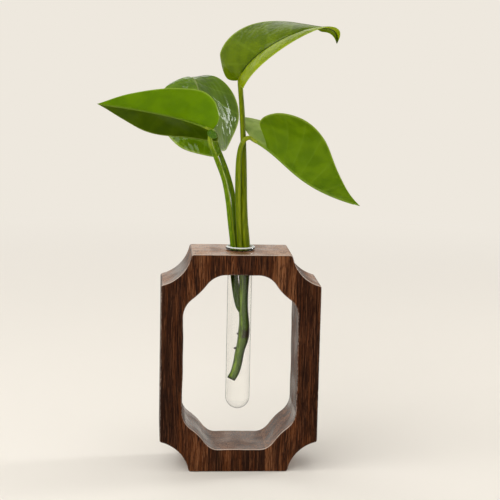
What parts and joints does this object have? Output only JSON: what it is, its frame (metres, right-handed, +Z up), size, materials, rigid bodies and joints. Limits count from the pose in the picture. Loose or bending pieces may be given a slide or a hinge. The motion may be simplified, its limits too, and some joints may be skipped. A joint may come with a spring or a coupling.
{
  "type": "hydroponic vase",
  "caption": "Wooden window frame with scooped corners that holds a hanging glass test tube and a leafy vine cutting rooting in water.",
  "frame": {"origin": "middle of the wooden frame's foot, on the surface that it stands on", "axes": "+Z up along the tube, +X to the right along the frame's width, -Y towards the front of the picture"},
  "size_m": [0.1601, 0.0978, 0.2832],
  "materials": {
    "walnut_side": "dark walnut with a satin clear coat, grain upright",
    "walnut_middle": "dark walnut with a satin clear coat, grain upright",
    "clear_glass": "clear, thin-walled, fire-polished lip",
    "plant_stem": "fresh green stem, satin",
    "plant_leaf": "fresh green blade, glossy above and matt below"
  },
  "bodies": {
    "frame": {"frame_left_stave": "walnut_side", "frame_right_stave": "walnut_side", "frame_top_block": "walnut_middle", "frame_bottom_block": "walnut_middle"},
    "tube": {"glass_tube": "clear_glass"},
    "cutting": {"vine_stem": "plant_stem", "petiole_left": "plant_stem", "petiole_rear": "plant_stem", "petiole_right": "plant_stem", "petiole_top": "plant_stem", "leaf_left": "plant_leaf", "leaf_rear": "plant_leaf", "leaf_right": "plant_leaf", "leaf_top": "plant_leaf"}
  },
  "joints": [
    {"name": "tube_lift", "type": "slide", "parent": "frame", "child": "tube", "axis": [0, 0, 1], "range_m": [0, 0.12]},
    {"name": "cutting_lift", "type": "slide", "parent": "tube", "child": "cutting", "axis": [0, 0, 1], "range_m": [0, 0.1]}
  ]
}
